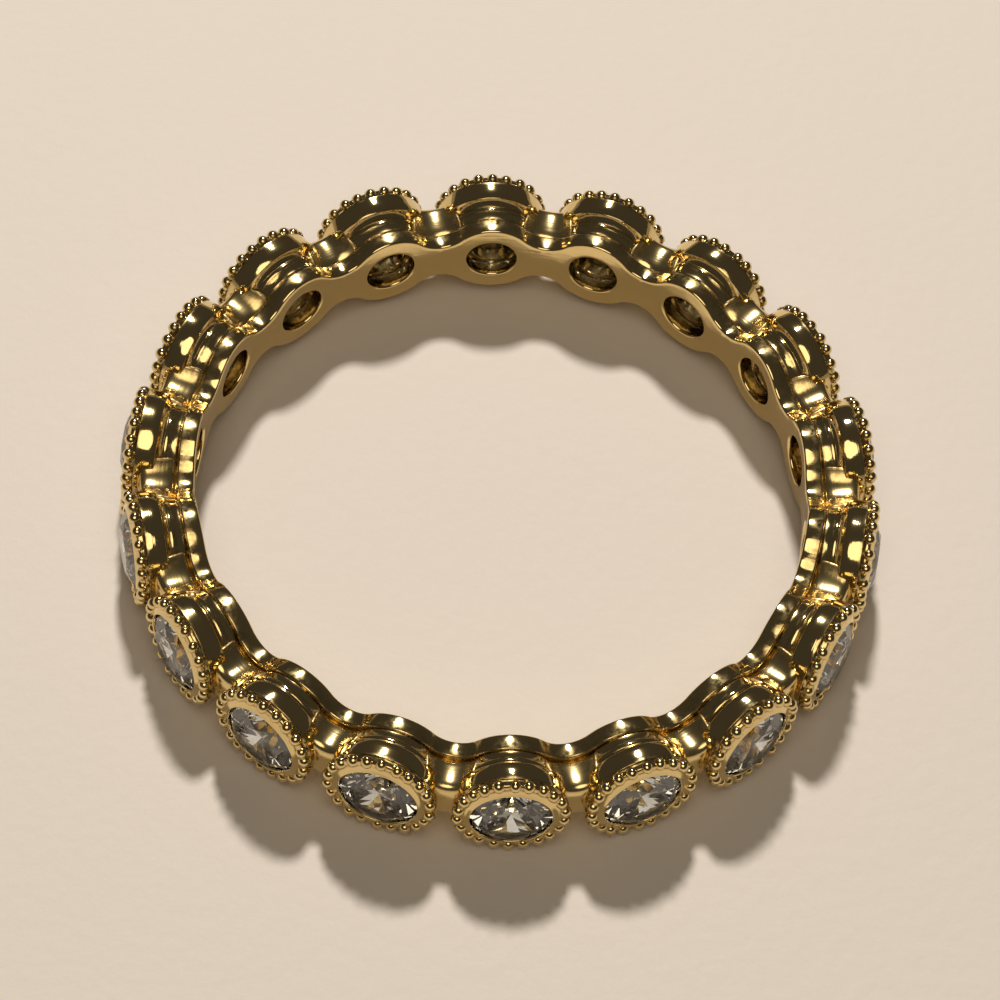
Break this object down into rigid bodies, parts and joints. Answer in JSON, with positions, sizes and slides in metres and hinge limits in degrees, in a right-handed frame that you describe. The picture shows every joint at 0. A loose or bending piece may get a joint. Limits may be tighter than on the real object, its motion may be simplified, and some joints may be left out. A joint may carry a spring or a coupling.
{
  "type": "stackable ring",
  "caption": "Slim finger ring for wearing alone or stacked: round beaded-rim cups joined side by side all the way round, each holding a clear round brilliant-cut stone.",
  "frame": {"origin": "on the ring's axis, at the surface that the ring lies on", "axes": "+Z along the ring's axis, upwards as it lies on its side; +Y through the middle of one cup"},
  "size_m": [0.0216, 0.0216, 0.0033],
  "materials": {
    "gold_plate": "polished yellow gold plate",
    "clear_stone": "faceted and polished, colourless"
  },
  "bodies": {
    "root": {"band": "gold_plate", "stone_01": "clear_stone", "stone_02": "clear_stone", "stone_03": "clear_stone", "stone_04": "clear_stone", "stone_05": "clear_stone", "stone_06": "clear_stone", "stone_07": "clear_stone", "stone_08": "clear_stone", "stone_09": "clear_stone", "stone_10": "clear_stone", "stone_11": "clear_stone", "stone_12": "clear_stone", "stone_13": "clear_stone", "stone_14": "clear_stone", "stone_15": "clear_stone", "stone_16": "clear_stone", "stone_17": "clear_stone", "stone_18": "clear_stone"}
  },
  "joints": []
}
